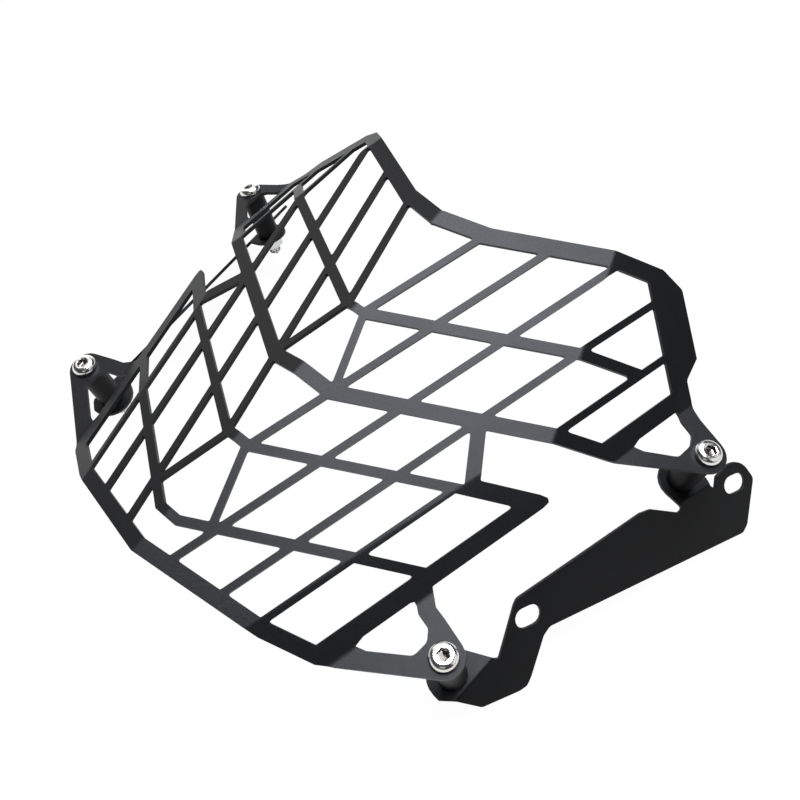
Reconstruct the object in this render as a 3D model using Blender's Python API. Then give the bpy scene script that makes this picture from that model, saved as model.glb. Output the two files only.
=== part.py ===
"""Headlight guard for a motorcycle: a folded sheet grille bolted to two side brackets.

The grille is cut from one flat blank and then bent: along the centre line, along
one line on each wing and beside the thick edge bars, where the lugs stand.
Blank coordinates: u runs from the centre fold to the side, v along the fold.
Everything is drawn for the right side and mirrored to the left. The finished
guard lies on its back: X to its right, Y to its upper edge, Z up, on the ground.
"""
import math

import bpy
import numpy as np
from mathutils import Matrix, Vector
from mathutils.geometry import delaunay_2d_cdt

# Sheet and bends
SHEET = 0.0015
BEND_RADIUS = 0.0060
BRACKET_BEND_RADIUS = 0.0030
BEND_CLEARANCE = 0.0004
CORNER_RADIUS = 0.0007
OUTER_CORNER_RADIUS = 0.0026
SEAT_GAP = 0.0003

# Bend angles
CENTRE_BEND = math.radians(28.8)
UPPER_WING_BEND = math.radians(22.5)
LOWER_WING_BEND = math.radians(14.5)
UPPER_LUG_BEND = math.radians(19.8)
LOWER_LUG_BEND = math.radians(28.3)

# Bend lines of the wings: where they cross v = 0, and their direction
UPPER_WING_INSET = 0.0014
UPPER_WING_DIRECTION = math.radians(108.8)
LOWER_WING_CROSSING = 0.0771
LOWER_WING_DIRECTION = math.radians(72.6)

# Rails: height of the middle line at the fold, and width
RAIL_RISE = math.radians(27.0)
BROW_LEVEL = 0.0609
BROW_WIDTH = 0.0071
UPPER_LEVEL = 0.0149
UPPER_WIDTH = 0.0044
MIDDLE_LEVEL = -0.02185
MIDDLE_WIDTH = 0.0056
LOWER_LEVEL = -0.05065
LOWER_WIDTH = 0.0036
BASE_LEVEL = -0.08485
BASE_WIDTH = 0.0037
TIP_WIDTH = 0.0062

# Level bridges that join left and right rails across the fold
UPPER_BRIDGE_LEVEL = 0.01718
UPPER_BRIDGE_WIDTH = 0.0034
MIDDLE_BRIDGE_LEVEL = -0.01405
MIDDLE_BRIDGE_WIDTH = 0.0058
LOWER_BRIDGE_LEVEL = -0.0475
LOWER_BRIDGE_WIDTH = 0.0040
BASE_BRIDGE_LEVEL = -0.0823
BASE_BRIDGE_WIDTH = 0.0037
BROW_DIP_LEVEL = 0.06595
BROW_DIP_WIDTH = 0.0067
BROW_DIP_RISE = math.radians(15.7)

# Slanted bars between the rails
BAR_ANGLE = math.radians(73.7)
BAR_FIRST = -0.0009
BAR_PITCH = 0.0204
BAR_WIDTH = 0.00275
LOW_BAR_OFFSET = 0.07635
EDGE_BAR_OFFSET = 0.0969
EDGE_BAR_WIDTH = 0.0063

# Steep bars beside the fold, and the strut that carries the lower tips
STEEP_ANGLE = math.radians(-69.8)
STEEP_WIDTH = 0.0028
UPPER_STEEP_FOOT = 0.0052
LOWER_STEEP_FOOT = 0.0056
STRUT_FOOT = 0.06515
STRUT_ANGLE = math.radians(-58.4)
STRUT_WIDTH = 0.0054

# Shoulder at the top outer corner, and chin at the bottom edge
SHOULDER_RUN = 0.0139
SHOULDER_FALL = math.radians(-39.5)
SHOULDER_WIDTH = 0.0145
NECK_WIDTH = 0.0078
SHOULDER_LENGTH = 0.0275
SHOULDER_TOP_LEVEL = 0.1066
NECK_ANGLE = math.radians(-80.0)
CHIN_LEVEL = -0.0967
CHIN_WIDTH = 0.0058
CHIN_RISE = math.radians(6.2)
CHIN_KNEE = 0.0522
CHIN_END_RISE = math.radians(13.6)
CHIN_CORNER_INSET = 0.0013

# Lugs: each bolt hole's place along and out from its edge bar, then corners from the bolt
UPPER_BOLT_ALONG = 0.0342
UPPER_BOLT_OUT = 0.0193
UPPER_THROAT = (-0.0127, 0.0133)
UPPER_WAIST = (-0.0086, 0.0111)
LOWER_BOLT_ALONG = -0.0130
LOWER_BOLT_OUT = 0.0218
LOWER_LEG_START = 0.0026
LOWER_THROAT = (-0.0129, 0.0114)
LOWER_WAIST = (-0.0079, 0.0101)
UPPER_HUB_RADIUS = 0.0076
LOWER_HUB_RADIUS = 0.0072

# Windows in the lugs: ends along the edge bar, then corners from the bolt
WINDOW_INSET = 0.0003
UPPER_WINDOW_NEAR = 0.0096
UPPER_WINDOW_FAR = 0.0376
UPPER_WINDOW_CORNERS = ((-0.0139, 0.0057), (-0.0082, 0.0036), (-0.0066, -0.0008), (-0.0081, -0.0083))
LOWER_WINDOW_NEAR = -0.0378
LOWER_WINDOW_FAR = -0.0098
LOWER_WINDOW_CORNERS = ((-0.0159, 0.0058), (-0.0102, 0.0042), (-0.0076, 0.0004), (-0.0083, -0.0058))

# Bracket plates: how they stand, and corners from the front bend, along and across the plate
PLATE_TILT = math.radians(-30.2)
BEND_TO_BOLT = 0.0067
REAR_TAB_DROP = 0.0043
FRONT_NOTCH = (0.0148, 0.0044)
PLATE_BACK = (
    (0.0257, 0.0205), (0.0275, 0.0223), (0.0866, 0.0327),
    (0.0917, 0.0324), (0.1042, 0.0264), (0.1061, 0.0273),
)
EAR_NOTCH = ((0.1237, 0.0291), (0.1256, 0.0338))
EAR_RADIUS = 0.0086
EAR_HEEL = ((0.1439, 0.0270), (0.1362, 0.0098), (0.1333, 0.0071))
PLATE_TOE = (
    (0.0375, 0.0071), (0.0342, 0.0050), (0.0253, -0.0072),
    (0.0228, -0.0098), (0.0194, -0.0103), (0.0038, -0.0094),
)
SLOT_WIDTH = 0.0074
SLOT_LENGTH = 0.0108
FRONT_SLOT = (0.0299, 0.0143)
REAR_SLOT = (0.1338, 0.0280)

# Bracket tabs: round ends, base corners beside the bolt, and cheeks along and out from the bend
FRONT_TAB_RADIUS = 0.0095
FRONT_TAB_BACK = 0.0057
FRONT_TAB_AHEAD = 0.0141
FRONT_TAB_CHEEK = (0.0096, 0.0045)
REAR_TAB_RADIUS = 0.0087
REAR_TAB_BACK = 0.0070
REAR_TAB_AHEAD = 0.0099
REAR_TAB_CHEEK = (-0.0104, 0.0030)

# Fasteners
SPACER_LENGTH = 0.0220
SPACER_DIAMETER = 0.0110
SPACER_CHAMFER = 0.0003
CLEAR_BORE = 0.0066
BOLT_DIAMETER = 0.0060
BOLT_END = 0.0038
BOLT_CHAMFER = 0.0006
HEAD_DIAMETER = 0.0105
HEAD_RIM = 0.0008
HEAD_HEIGHT = 0.0033
HEAD_FLAT = 0.0058
SOCKET_FLATS = 0.0040
SOCKET_DEPTH = 0.0020
NUT_FLATS = 0.0100
NUT_HEIGHT = 0.0050
NUT_CHAMFER = 0.0005
ROUND_STEPS = 24


# Plane geometry

def line(point, angle):
    """A line is a point and a unit direction."""
    return np.array(point, float), np.array([math.cos(angle), math.sin(angle)])


def shifted(track, distance):
    """The same line moved to its left by a distance."""
    point, run = track
    return point + distance * np.array([-run[1], run[0]]), run


def meet(first, second):
    """The point where two lines cross."""
    (p, d), (q, e) = first, second
    turn = d[0] * e[1] - d[1] * e[0]
    gap = q - p
    return p + d * (gap[0] * e[1] - gap[1] * e[0]) / turn


def corners(*lines):
    """The loop of points where each line meets the next."""
    return [meet(lines[k], lines[(k + 1) % len(lines)]) for k in range(len(lines))]


def beyond(track, point):
    """How far a point lies to the right of a line."""
    start, run = track
    gap = np.asarray(point) - start
    return gap[0] * run[1] - gap[1] * run[0]


def arc(centre, radius, start, end, steps):
    """Points on a circle from one angle to another."""
    angles = np.linspace(start, end, steps + 1)
    return [np.array([centre[0] + radius * math.cos(a), centre[1] + radius * math.sin(a)]) for a in angles]


def circle(centre, radius):
    return arc(centre, radius, 0.0, math.tau, ROUND_STEPS)[:-1]


def tangent_angle(point, centre, radius, side):
    """The angle on a circle where a line from an outside point touches it."""
    gap = np.asarray(point) - centre
    return math.atan2(gap[1], gap[0]) + side * math.acos(radius / np.linalg.norm(gap))


def hub_arc(before, centre, radius, after, steps=8):
    """The round end between two straight sides, clockwise from one to the other."""
    start = tangent_angle(before, centre, radius, -1)
    end = tangent_angle(after, centre, radius, 1)
    while end > start:
        end -= math.tau
    return arc(centre, radius, start, end, steps)


def filleted(points, radii, steps=2):
    """Round the corners of a loop, less where its sides are short, and leave out straight ones."""
    loop = [np.asarray(p, float) for p in points]
    if isinstance(radii, float):
        radii = [radii] * len(loop)
    result = []
    for k, here in enumerate(loop):
        back = loop[k - 1] - here
        ahead = loop[(k + 1) % len(loop)] - here
        reach_back, reach_ahead = np.linalg.norm(back), np.linalg.norm(ahead)
        back, ahead = back / reach_back, ahead / reach_ahead
        half = 0.5 * math.acos(max(-1.0, min(1.0, float(back @ ahead))))
        if half > math.radians(89.9):
            continue
        if radii[k] == 0.0:
            result.append(here)
            continue
        cut = min(radii[k] / math.tan(half), 0.42 * reach_back, 0.42 * reach_ahead)
        first, last = here + cut * back, here + cut * ahead
        for step in range(steps + 1):
            t = step / steps
            result.append((1 - t) ** 2 * first + 2 * t * (1 - t) * here + t ** 2 * last)
    return result


def mirrored(points):
    """The left copy of a right-hand chain, run through backwards."""
    return [np.array([-p[0], p[1]]) for p in reversed(points)]


def across_fold(half):
    """Join an opening that ends on the fold with its mirror image."""
    right = [p for p in half if p[0] > 1e-9]
    on_fold = [p for p in half if p[0] <= 1e-9]
    return [on_fold[0]] + right + [on_fold[-1]] + mirrored(right)


def contains(loop, point):
    """Whether a point lies inside a closed loop."""
    inside = False
    x, y = point
    for k in range(len(loop)):
        (ax, ay), (bx, by) = loop[k - 1], loop[k]
        if (ay > y) != (by > y) and x < ax + (y - ay) * (bx - ax) / (by - ay):
            inside = not inside
    return inside


# Lines of the blank

def rail(level, offset=0.0):
    """A rail's line, moved to its upper side by an offset."""
    return shifted(line((0.0, level), RAIL_RISE), offset)


def rail_edges(level, width):
    return rail(level, -width / 2), rail(level, width / 2)


def level_edges(level, width):
    return line((0.0, level - width / 2), 0.0), line((0.0, level + width / 2), 0.0)


def upright(u):
    return line((u, 0.0), math.pi / 2)


def bar_edges(offset, width):
    """The inner and outer edges of a slanted bar."""
    middle = line((offset, 0.0), BAR_ANGLE)
    return shifted(middle, width / 2), shifted(middle, -width / 2)


def slanted_bars(count):
    return [bar_edges(BAR_FIRST + k * BAR_PITCH, BAR_WIDTH) for k in range(count)]


def steep_edges(foot, bridge_bottom):
    """The inner and outer edges of a steep bar that hangs from a bridge."""
    middle = line((foot, bridge_bottom[0][1]), STEEP_ANGLE)
    return shifted(middle, -STEEP_WIDTH / 2), shifted(middle, STEEP_WIDTH / 2)


FOLD = upright(0.0)
BROW_BOTTOM, BROW_TOP = rail_edges(BROW_LEVEL, BROW_WIDTH)
UPPER_BOTTOM, UPPER_TOP = rail_edges(UPPER_LEVEL, UPPER_WIDTH)
MIDDLE_BOTTOM, MIDDLE_TOP = rail_edges(MIDDLE_LEVEL, MIDDLE_WIDTH)
LOWER_BOTTOM, LOWER_TOP = rail_edges(LOWER_LEVEL, LOWER_WIDTH)
BASE_BOTTOM, BASE_TOP = rail_edges(BASE_LEVEL, BASE_WIDTH)
TIP_TOP = shifted(LOWER_BOTTOM, TIP_WIDTH)
WING_PARTING = rail((MIDDLE_LEVEL + LOWER_LEVEL) / 2)
BROW_DIP = line((0.0, BROW_DIP_LEVEL), BROW_DIP_RISE)
BROW_DIP_BOTTOM = shifted(BROW_DIP, -BROW_DIP_WIDTH / 2)
BROW_DIP_TOP = shifted(BROW_DIP, BROW_DIP_WIDTH / 2)
UPPER_BRIDGE_BOTTOM, UPPER_BRIDGE_TOP = level_edges(UPPER_BRIDGE_LEVEL, UPPER_BRIDGE_WIDTH)
MIDDLE_BRIDGE_BOTTOM, MIDDLE_BRIDGE_TOP = level_edges(MIDDLE_BRIDGE_LEVEL, MIDDLE_BRIDGE_WIDTH)
LOWER_BRIDGE_BOTTOM, LOWER_BRIDGE_TOP = level_edges(LOWER_BRIDGE_LEVEL, LOWER_BRIDGE_WIDTH)
BASE_BRIDGE_BOTTOM, BASE_BRIDGE_TOP = level_edges(BASE_BRIDGE_LEVEL, BASE_BRIDGE_WIDTH)
UPPER_STEEP_INNER, UPPER_STEEP_OUTER = steep_edges(UPPER_STEEP_FOOT, UPPER_BRIDGE_BOTTOM)
LOWER_STEEP_INNER, LOWER_STEEP_OUTER = steep_edges(LOWER_STEEP_FOOT, LOWER_BRIDGE_BOTTOM)
STRUT = line(meet(MIDDLE_BOTTOM, upright(STRUT_FOOT)), STRUT_ANGLE)
STRUT_INNER, STRUT_OUTER = shifted(STRUT, -STRUT_WIDTH / 2), shifted(STRUT, STRUT_WIDTH / 2)
EDGE_INNER, EDGE_OUTER = bar_edges(EDGE_BAR_OFFSET, EDGE_BAR_WIDTH)
SHOULDER_START = meet(BROW_BOTTOM, slanted_bars(3)[2][1]) + SHOULDER_RUN * BROW_BOTTOM[1]
SHOULDER_INNER = line(SHOULDER_START, SHOULDER_FALL)
SHOULDER_OUTER = shifted(SHOULDER_INNER, SHOULDER_WIDTH)
NECK_OUTER = shifted(SHOULDER_INNER, NECK_WIDTH)
SHOULDER_TOP = line((0.0, SHOULDER_TOP_LEVEL), 0.0)
CHIN = line((0.0, CHIN_LEVEL), CHIN_RISE)
CHIN_INNER, CHIN_OUTER = shifted(CHIN, CHIN_WIDTH / 2), shifted(CHIN, -CHIN_WIDTH / 2)
CHIN_END = line(meet(CHIN, upright(CHIN_KNEE)), CHIN_END_RISE)
CHIN_END_INNER, CHIN_END_OUTER = shifted(CHIN_END, CHIN_WIDTH / 2), shifted(CHIN_END, -CHIN_WIDTH / 2)


# Openings of the grille

def row_cells(top, bottom, bars):
    """Four-sided openings between each bar of a row and the next."""
    return [corners(top, bars[k + 1][0], bottom, bars[k][1]) for k in range(len(bars) - 1)]


def side_openings():
    """The openings that lie wholly on the right half."""
    bars = slanted_bars(5)
    edge = (EDGE_INNER, EDGE_OUTER)
    low_bars = [bars[2], bars[3], bar_edges(LOW_BAR_OFFSET, BAR_WIDTH), edge]
    cells = row_cells(BROW_BOTTOM, UPPER_TOP, bars[:3])
    cells.append(corners(BROW_BOTTOM, SHOULDER_INNER, bars[3][0], UPPER_TOP, bars[2][1]))
    cells.append(corners(SHOULDER_INNER, bars[4][0], UPPER_TOP, bars[3][1]))
    cells.append(corners(UPPER_BOTTOM, bars[1][0], UPPER_STEEP_OUTER))
    cells += row_cells(UPPER_BOTTOM, MIDDLE_TOP, bars[1:])
    cells.append(corners(SHOULDER_INNER, EDGE_INNER, MIDDLE_TOP, bars[4][1]))
    cells += row_cells(MIDDLE_BOTTOM, LOWER_TOP, bars[1:4])
    cells.append(corners(bars[3][1], STRUT_INNER, LOWER_TOP))
    cells.append(corners(LOWER_BOTTOM, bars[2][0], LOWER_STEEP_OUTER))
    cells += row_cells(LOWER_BOTTOM, BASE_TOP, low_bars)
    cells += row_cells(BASE_BOTTOM, CHIN_INNER, low_bars[:3])
    cells += row_cells(BASE_BOTTOM, CHIN_END_INNER, low_bars[2:])
    return cells


def centre_openings():
    """The openings that run across the fold, each given by its right half."""
    bars = slanted_bars(3)
    halves = [
        corners(FOLD, BROW_DIP_BOTTOM, bars[0][0], UPPER_BRIDGE_TOP),
        corners(FOLD, UPPER_BRIDGE_BOTTOM, UPPER_STEEP_INNER, MIDDLE_BRIDGE_TOP),
        corners(FOLD, MIDDLE_BRIDGE_BOTTOM, bars[1][0], LOWER_BRIDGE_TOP),
        corners(FOLD, LOWER_BRIDGE_BOTTOM, LOWER_STEEP_INNER, BASE_TOP, BASE_BRIDGE_TOP),
        corners(FOLD, BASE_BRIDGE_BOTTOM, BASE_BOTTOM, bars[2][0], CHIN_INNER),
    ]
    return [across_fold(half) for half in halves]


# Lugs of the grille

UPPER_CORNER = meet(MIDDLE_BOTTOM, EDGE_OUTER)
LOWER_CORNER = meet(BASE_BOTTOM, EDGE_OUTER)
CHIN_CORNER = meet(CHIN_END_OUTER, shifted(EDGE_OUTER, CHIN_CORNER_INSET))


def beside(track, along, out):
    """A point given along a line from its start, and out to its right."""
    start, run = track
    return start + along * run + out * np.array([run[1], -run[0]])


def edge_point(origin, along, out):
    """A point given from another, along and out from the edge bar."""
    return beside((origin, EDGE_OUTER[1]), along, out)


UPPER_BOLT = edge_point(UPPER_CORNER, UPPER_BOLT_ALONG, UPPER_BOLT_OUT)
LOWER_BOLT = edge_point(LOWER_CORNER, LOWER_BOLT_ALONG, LOWER_BOLT_OUT)


def upper_lug_outline():
    """From the neck, around the hub and back to the middle rail."""
    waist = UPPER_BOLT + UPPER_WAIST
    hub = hub_arc(waist, UPPER_BOLT, UPPER_HUB_RADIUS, UPPER_CORNER)
    return [meet(NECK_OUTER, EDGE_OUTER), UPPER_BOLT + UPPER_THROAT, waist] + hub + [UPPER_CORNER]


def lower_lug_outline():
    """From the edge bar, around the hub and back to the chin."""
    waist = LOWER_BOLT + LOWER_WAIST
    hub = hub_arc(waist, LOWER_BOLT, LOWER_HUB_RADIUS, CHIN_CORNER)
    start = edge_point(LOWER_CORNER, -LOWER_LEG_START, 0.0)
    return [start, LOWER_BOLT + LOWER_THROAT, waist] + hub + [CHIN_CORNER]


def lug_window(bolt, corner, near, far, offsets):
    """The window between a lug's legs, from its far end round the hub to its near end."""
    hub_side = [bolt + offset for offset in offsets]
    return [edge_point(corner, far, WINDOW_INSET)] + hub_side + [edge_point(corner, near, WINDOW_INSET)]


def lug_windows():
    upper = lug_window(UPPER_BOLT, UPPER_CORNER, UPPER_WINDOW_NEAR, UPPER_WINDOW_FAR, UPPER_WINDOW_CORNERS)
    lower = lug_window(LOWER_BOLT, LOWER_CORNER, LOWER_WINDOW_NEAR, LOWER_WINDOW_FAR, LOWER_WINDOW_CORNERS)
    return [upper, lower]


def grille_outline():
    """The right edge of the blank, from the top of the fold to the bottom, and its radii."""
    notch = meet(SHOULDER_TOP, SHOULDER_OUTER) + SHOULDER_LENGTH * SHOULDER_OUTER[1]
    soft, crisp = OUTER_CORNER_RADIUS, CORNER_RADIUS
    upper, lower = upper_lug_outline(), lower_lug_outline()
    points = [meet(FOLD, BROW_DIP_TOP), meet(BROW_DIP_TOP, BROW_TOP), meet(BROW_TOP, SHOULDER_TOP)]
    radii = [0.0, soft, soft]
    points += [meet(SHOULDER_TOP, SHOULDER_OUTER), notch, meet(line(notch, NECK_ANGLE), NECK_OUTER)]
    radii += [soft, crisp, soft]
    points += upper
    radii += [soft, soft, soft] + [0.0] * (len(upper) - 4) + [crisp]
    points += [meet(MIDDLE_BOTTOM, STRUT_OUTER), meet(STRUT_OUTER, TIP_TOP), meet(TIP_TOP, EDGE_OUTER)]
    radii += [crisp, crisp, soft]
    points += lower
    radii += [crisp, soft, soft] + [0.0] * (len(lower) - 4) + [soft]
    points += [meet(CHIN_END_OUTER, CHIN_OUTER), meet(CHIN_OUTER, FOLD)]
    radii += [soft, 0.0]
    return points, radii


# Bends: each has a zone, a line with the bent side on its right, and an angle down

def anywhere(point):
    return True


def in_upper(point):
    return beyond(WING_PARTING, point) <= 0


def in_lower(point):
    return beyond(WING_PARTING, point) > 0


def creases(zone, track, angle, steps, radius):
    """Split one bend into parallel creases that follow its radius, outermost first."""
    spacing = radius * abs(angle) / steps
    places = [((steps - 1) / 2 - k) * spacing for k in range(steps)]
    return [(zone, shifted(track, -place), angle / steps) for place in places]


def lug_creases(zone, angle, steps):
    """A lug bends up just outside its edge bar."""
    clear = BEND_RADIUS * angle / 2 + BEND_CLEARANCE
    return creases(zone, shifted(EDGE_OUTER, -clear), -angle, steps, BEND_RADIUS)


def grille_bends():
    """All bends of the right half, outermost first."""
    upper_wing = line((EDGE_BAR_OFFSET - UPPER_WING_INSET, 0.0), UPPER_WING_DIRECTION)
    lower_wing = line((LOWER_WING_CROSSING, 0.0), LOWER_WING_DIRECTION)
    fold_side = upright(BEND_RADIUS * CENTRE_BEND / 4)
    bends = lug_creases(in_upper, UPPER_LUG_BEND, 2) + lug_creases(in_lower, LOWER_LUG_BEND, 3)
    bends += creases(in_upper, upper_wing, UPPER_WING_BEND, 3, BEND_RADIUS)
    bends += creases(in_lower, lower_wing, LOWER_WING_BEND, 3, BEND_RADIUS)
    return bends + creases(anywhere, fold_side, CENTRE_BEND / 2, 2, BEND_RADIUS)


def bent(bends, point):
    """The place in space of the flat region around a point, after its bends."""
    place = Matrix.Identity(4)
    for zone, (pivot, run), angle in bends:
        if zone(point) and beyond((pivot, run), point) > 0:
            move = Matrix.Translation((pivot[0], pivot[1], 0.0))
            turn = Matrix.Rotation(angle, 4, Vector((run[0], run[1], 0.0)))
            place = move @ turn @ move.inverted() @ place
    return place


def crease_segments(bends):
    """The creases as segments that the flat mesh must follow, on both halves."""
    span = SHOULDER_TOP_LEVEL - CHIN_LEVEL
    segments = []
    for zone, (pivot, run), _ in bends:
        ends = [pivot - span * run, pivot + span * run]
        if zone is not anywhere:
            parting = meet(WING_PARTING, (pivot, run))
            ends[0 if zone is in_upper else 1] = parting
        segments += [ends, mirrored(ends)]
    return segments


# Solids from sheet

def flat_triangles(outline, openings, segments):
    """Triangles of a flat sheet with openings, following the given segments."""
    points = []
    edges = []
    for loop in [outline] + openings:
        start = len(points)
        points += loop
        edges += [(start + k, start + (k + 1) % len(loop)) for k in range(len(loop))]
    for first, second in segments:
        points += [first, second]
        edges.append((len(points) - 2, len(points) - 1))
    millimetres = [Vector((p[0] * 1000.0, p[1] * 1000.0)) for p in points]
    vertices, _, faces = delaunay_2d_cdt(millimetres, edges, [], 0, 1e-4)[:3]
    flat = [np.array([v.x, v.y]) / 1000.0 for v in vertices]
    kept = []
    for face in faces:
        middle = np.mean([flat[k] for k in face], axis=0)
        if contains(outline, middle) and not any(contains(hole, middle) for hole in openings):
            kept.append(tuple(face))
    return flat, kept


def thick_mesh(name, skin, triangles, normals):
    """A closed solid under a skin, one sheet thick at right angles to every face."""
    used = sorted(skin)
    number = {k: n for n, k in enumerate(used)}
    around = {k: [] for k in used}
    for face, normal in zip(triangles, normals):
        for k in face:
            if not any(np.allclose(normal, other, atol=1e-4) for other in around[k]):
                around[k].append(normal)
    top = [skin[k] for k in used]
    bottom = []
    for k in used:
        reach = np.full(len(around[k]), -SHEET)
        bottom.append(skin[k] + np.linalg.pinv(np.array(around[k])) @ reach)
    count = len(used)
    faces = []
    edges = set()
    for face in triangles:
        a, b, c = (number[k] for k in face)
        faces += [(a, b, c), (c + count, b + count, a + count)]
        edges |= {(a, b), (b, c), (c, a)}
    faces += [(b, a, a + count, b + count) for a, b in sorted(edges) if (b, a) not in edges]
    mesh = bpy.data.meshes.new(name)
    mesh.from_pydata([tuple(p) for p in top + bottom], [], faces)
    mesh.validate()
    return mesh


def fold(flat, triangles, bends, mirror):
    """Bend a flat sheet: where its points come to lie, and each triangle's normal."""
    skin = {}
    normals = []
    for face in triangles:
        middle = np.mean([flat[k] for k in face], axis=0)
        hand = -1.0 if mirror and middle[0] < 0 else 1.0
        place = bent(bends, middle * (hand, 1.0))
        for k in face:
            x, y, z = place @ Vector((hand * flat[k][0], flat[k][1], 0.0))
            skin[k] = np.array([hand * x, y, z])
        x, y, z = place.to_3x3() @ Vector((0.0, 0.0, 1.0))
        normals.append(np.array([hand * x, y, z]))
    return skin, normals


def grille_mesh(bends):
    """Cut the blank, bend it and give it its thickness."""
    right = filleted(*grille_outline(), steps=3)
    outline = right + mirrored(right[1:-1])
    side = [filleted(loop, CORNER_RADIUS) for loop in side_openings()]
    side += [filleted(loop, OUTER_CORNER_RADIUS) for loop in lug_windows()]
    side += [circle(UPPER_BOLT, CLEAR_BORE / 2), circle(LOWER_BOLT, CLEAR_BORE / 2)]
    openings = [filleted(loop, CORNER_RADIUS) for loop in centre_openings()]
    openings += side + [mirrored(loop) for loop in side]
    flat, triangles = flat_triangles(outline, openings, crease_segments(bends))
    skin, normals = fold(flat, triangles, bends, True)
    return thick_mesh("grille", skin, triangles, normals)


# Brackets

STACK = SHEET + SEAT_GAP + SPACER_LENGTH + SEAT_GAP


def bolt_frame(bends, bolt):
    """The place of a right-hand bolt: origin on the lug's skin, Z along its axis."""
    return bent(bends, bolt) @ Matrix.Translation((bolt[0], bolt[1], 0.0))


def below(frame, depth):
    return frame @ Matrix.Translation((0.0, 0.0, -depth))


def leaning_plate(front_bolt, lean):
    """A plate's place: origin on the front bend beside its bolt, X along the long edge."""
    normal = Vector((math.cos(lean), 0.0, math.sin(lean)))
    level = Vector((0.0, 1.0, 0.0))
    along = math.cos(PLATE_TILT) * level + math.sin(PLATE_TILT) * normal.cross(level)
    across = normal.cross(along)
    tab = below(front_bolt, STACK)
    tab_normal = tab.to_3x3().col[2]
    outward = (normal - normal.dot(tab_normal) * tab_normal).normalized()
    axes = Matrix((along, across, normal)).transposed().to_4x4()
    return Matrix.Translation(tab.translation + BEND_TO_BOLT * outward) @ axes


def plate_frame(front_bolt, rear_bolt):
    """Lean the plate until the rear bolt's tab lies at its drop below it."""
    rear = below(rear_bolt, STACK).translation
    upright_lean, flat_lean = 0.0, math.pi / 2
    for _ in range(40):
        lean = (upright_lean + flat_lean) / 2
        plate = leaning_plate(front_bolt, lean)
        if (plate.inverted() @ rear).z > -REAR_TAB_DROP:
            upright_lean = lean
        else:
            flat_lean = lean
    return plate


def tab_bend(plate, bolt):
    """The line in the plate that a tab turns about, tab on its right, and its angle down."""
    tab = plate.inverted() @ below(bolt, STACK)
    centre, normal = tab.translation, tab.to_3x3().col[2]
    run = Vector((0.0, 0.0, 1.0)).cross(normal).normalized()
    reach = normal.cross(run)
    foot = centre - centre.z / reach.z * reach
    track = np.array(foot.xy), np.array(run.xy)
    angle = math.acos(normal.z)
    if beyond(track, centre.xy) < 0:
        track, angle = (track[0], -track[1]), -angle
    return track, angle, centre


def tab_outline(track, angle, centre, radius, back, ahead, cheek):
    """A tab's round end about its bolt, between base corners on its inner crease."""
    flat_place = bent(creases(anywhere, track, angle, 2, BRACKET_BEND_RADIUS), np.array(centre.xy))
    bolt = np.array((flat_place.inverted() @ centre).xy)
    inner = -BRACKET_BEND_RADIUS * abs(angle) / 4
    base = [beside(track, back, inner), beside(track, -ahead, inner)]
    side = beside(track, *cheek)
    if cheek[0] > 0:
        return [base[0], side] + hub_arc(side, bolt, radius, base[1], 10) + [base[1]], bolt
    return [base[0]] + hub_arc(base[0], bolt, radius, side, 10) + [side, base[1]], bolt


def tab_segments(track, angle, back, ahead):
    """A tab's two creases: one between its base corners, one across the whole tab."""
    half = BRACKET_BEND_RADIUS * abs(angle) / 4
    inner = [beside(track, back, -half), beside(track, -ahead, -half)]
    outer = [beside(track, back + half * 2, half), beside(track, -ahead - half * 2, half)]
    return [inner, outer]


def slot(centre):
    """A slot with round ends, along the plate."""
    centre = np.array(centre)
    half = (SLOT_LENGTH - SLOT_WIDTH) / 2
    right = arc(centre + (half, 0.0), SLOT_WIDTH / 2, -math.pi / 2, math.pi / 2, 8)
    left = arc(centre - (half, 0.0), SLOT_WIDTH / 2, math.pi / 2, 1.5 * math.pi, 8)
    return right + left


def bracket_mesh(plate, front_bolt, rear_bolt):
    """Cut the right bracket's plate with its two tabs, and bend the tabs down."""
    front_bend, rear_bend = tab_bend(plate, front_bolt), tab_bend(plate, rear_bolt)
    front_base = FRONT_TAB_BACK, FRONT_TAB_AHEAD
    rear_base = REAR_TAB_BACK, REAR_TAB_AHEAD
    front, front_hole = tab_outline(*front_bend, FRONT_TAB_RADIUS, *front_base, FRONT_TAB_CHEEK)
    rear, rear_hole = tab_outline(*rear_bend, REAR_TAB_RADIUS, *rear_base, REAR_TAB_CHEEK)
    ear = hub_arc(EAR_NOTCH[-1], np.array(REAR_SLOT), EAR_RADIUS, EAR_HEEL[0])
    outline, radii = list(front), [0.0] * len(front)
    crisp, soft = CORNER_RADIUS, OUTER_CORNER_RADIUS
    for chain, radius in (((FRONT_NOTCH,), crisp), (PLATE_BACK, soft), (rear, 0.0), (EAR_NOTCH, crisp),
                          (ear, 0.0), (EAR_HEEL, soft), (PLATE_TOE, soft)):
        outline += list(chain)
        radii += [radius] * len(chain)
    bends = creases(lambda point: contains(front, point), *front_bend[:2], 2, BRACKET_BEND_RADIUS)
    bends += creases(lambda point: contains(rear, point), *rear_bend[:2], 2, BRACKET_BEND_RADIUS)
    openings = [slot(FRONT_SLOT), slot(REAR_SLOT)]
    openings += [circle(front_hole, CLEAR_BORE / 2), circle(rear_hole, CLEAR_BORE / 2)]
    segments = tab_segments(*front_bend[:2], *front_base) + tab_segments(*rear_bend[:2], *rear_base)
    flat, triangles = flat_triangles(filleted(outline, radii), openings, segments)
    skin, normals = fold(flat, triangles, bends, False)
    return thick_mesh("bracket_right", skin, triangles, normals)


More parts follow.
